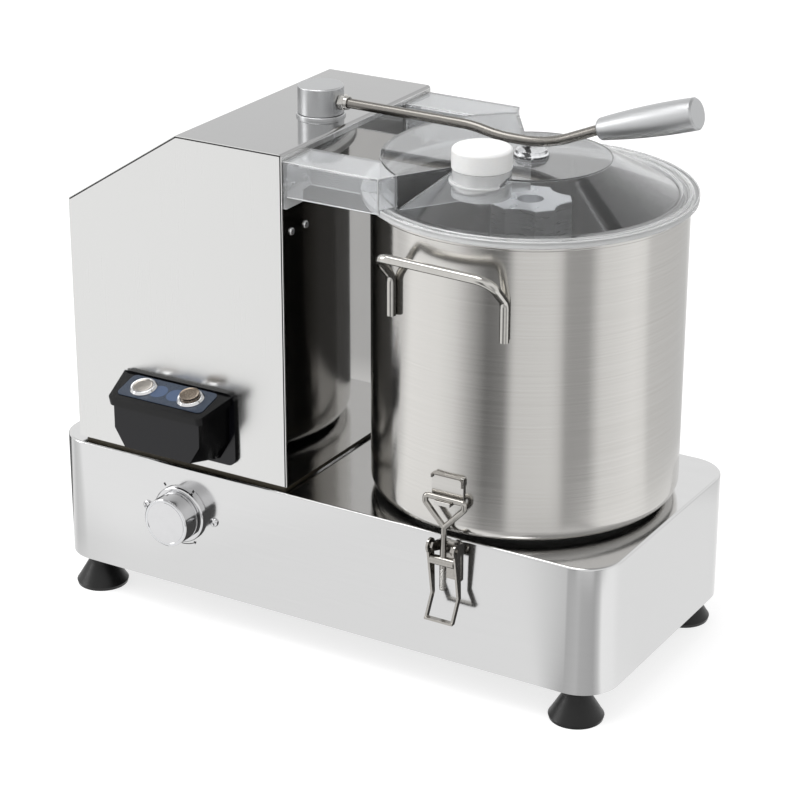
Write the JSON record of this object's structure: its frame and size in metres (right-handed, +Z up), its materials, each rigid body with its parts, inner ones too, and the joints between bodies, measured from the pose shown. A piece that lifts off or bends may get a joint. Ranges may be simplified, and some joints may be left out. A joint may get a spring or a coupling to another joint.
{
  "type": "bowl cutter",
  "caption": "Tabletop bowl cutter: motor column and latched chopping bowl with clear lid, lid lever and feed plug on one base, with push buttons and a speed knob.",
  "frame": {"origin": "middle of the footprint, on the surface the feet stand on", "axes": "+X along the machine from motor column to bowl, +Y to the back, +Z up"},
  "size_m": [0.5725, 0.3211, 0.5209],
  "materials": {
    "polished_steel": "bright polished stainless sheet",
    "mirror_steel": "mirror-polished stainless plate",
    "turned_steel": "turned and brushed stainless steel",
    "chrome_plate": "bright chrome plate",
    "satin_aluminium": "satin turned aluminium",
    "clear_polycarbonate": "clear moulded polycarbonate",
    "white_nylon": "satin white nylon",
    "black_moulding": "semi-gloss black moulded plastic",
    "black_rubber": "matt black rubber",
    "blue_film": "printed blue-grey overlay film",
    "silicone": "translucent white silicone",
    "motor_paint": "dark grey motor enamel",
    "cast_housing": "machined cast iron",
    "blade_steel": "ground blade steel"
  },
  "bodies": {
    "machine": {"base_housing": "polished_steel", "base_bottom_plate": "polished_steel", "foot_front_left": "black_rubber", "foot_back_left": "black_rubber", "foot_front_right": "black_rubber", "foot_back_right": "black_rubber", "column_shell": "polished_steel", "column_side_panel": "mirror_steel", "column_panel_screws": "turned_steel", "column_gasket": "black_rubber", "motor": "motor_paint", "drive_belt": "black_rubber", "bearing_housing": "cast_housing", "bowl_seat_ring": "black_rubber", "bowl": "polished_steel", "bowl_handle_front": "turned_steel", "bowl_handle_back": "turned_steel", "bowl_catch_front": "turned_steel", "bowl_catch_back": "turned_steel", "lid": "clear_polycarbonate", "lid_seal": "silicone", "lever_washer": "turned_steel", "lever_spindle": "turned_steel", "latch_bracket_front": "turned_steel", "latch_bracket_back": "turned_steel", "control_box": "black_moulding", "control_overlay": "blue_film", "start_button_ring": "chrome_plate", "stop_button_ring": "chrome_plate", "knob_ring": "chrome_plate", "speed_control": "motor_paint", "knob_screws": "turned_steel", "cable_gland": "black_moulding"},
    "blade_assembly": {"drive_shaft": "turned_steel", "driven_pulley": "cast_housing", "blade_hub": "satin_aluminium", "blade_lower": "blade_steel", "blade_upper": "blade_steel"},
    "motor_drive": {"motor_shaft": "turned_steel", "motor_pulley": "cast_housing"},
    "lid_lever": {"lever_hub": "satin_aluminium", "lever_nut": "turned_steel", "lever_rod": "turned_steel", "lever_grip": "satin_aluminium"},
    "plug": {"feed_plug": "white_nylon"},
    "start_push": {"start_button": "turned_steel"},
    "stop_push": {"stop_button": "turned_steel"},
    "knob": {"speed_knob": "chrome_plate", "knob_shaft": "turned_steel"},
    "front_lever": {"latch_lever_front": "turned_steel"},
    "back_lever": {"latch_lever_back": "turned_steel"},
    "front_hook": {"latch_hook_front": "turned_steel", "latch_barrel_front": "turned_steel"},
    "back_hook": {"latch_hook_back": "turned_steel", "latch_barrel_back": "turned_steel"}
  },
  "joints": [
    {"name": "blade_spin", "type": "hinge", "parent": "machine", "child": "blade_assembly", "pos_m": [0.138, 0, 0.25], "axis": [0, 0, 1], "continuous": true},
    {"name": "motor_spin", "type": "hinge", "parent": "machine", "child": "motor_drive", "pos_m": [-0.14175, 0, 0.15], "axis": [0, 0, 1], "continuous": true},
    {"name": "lid_lever_swing", "type": "hinge", "parent": "machine", "child": "lid_lever", "pos_m": [-0.065, -0.006, 0.47], "axis": [0, 0, 1], "range_deg": [0, 110]},
    {"name": "feed_plug_lift", "type": "slide", "parent": "machine", "child": "plug", "axis": [0, 0, 1], "range_m": [0, 0.06]},
    {"name": "start_button_press", "type": "slide", "parent": "machine", "child": "start_push", "axis": [0, 0.2577, -0.9662], "range_m": [0, 0.0025], "stiffness_N_per_m": 400, "springref_m": -0.002},
    {"name": "stop_button_press", "type": "slide", "parent": "machine", "child": "stop_push", "axis": [0, 0.2577, -0.9662], "range_m": [0, 0.0025], "stiffness_N_per_m": 400, "springref_m": -0.002},
    {"name": "speed_knob_turn", "type": "hinge", "parent": "machine", "child": "knob", "pos_m": [-0.14, -0.14, 0.104], "axis": [0, -1, 0], "range_deg": [-270, 0]},
    {"name": "front_latch_lever_swing", "type": "hinge", "parent": "machine", "child": "front_lever", "pos_m": [0.138, -0.142, 0.1449], "axis": [-1, 0, 0], "range_deg": [0, 80]},
    {"name": "front_latch_hook_swing", "type": "hinge", "parent": "front_lever", "child": "front_hook", "pos_m": [0.138, -0.142, 0.1329], "axis": [-1, 0, 0], "range_deg": [-68, 0]},
    {"name": "back_latch_lever_swing", "type": "hinge", "parent": "machine", "child": "back_lever", "pos_m": [0.138, 0.142, 0.1449], "axis": [1, 0, 0], "range_deg": [0, 80]},
    {"name": "back_latch_hook_swing", "type": "hinge", "parent": "back_lever", "child": "back_hook", "pos_m": [0.138, 0.142, 0.1329], "axis": [1, 0, 0], "range_deg": [-68, 0]}
  ],
  "couplings": [
    {"joint": "motor_spin", "follows": "blade_spin", "ratio": 2},
    {"joint": "front_latch_hook_swing", "follows": "front_latch_lever_swing", "ratio": -0.85},
    {"joint": "back_latch_hook_swing", "follows": "back_latch_lever_swing", "ratio": -0.85}
  ]
}
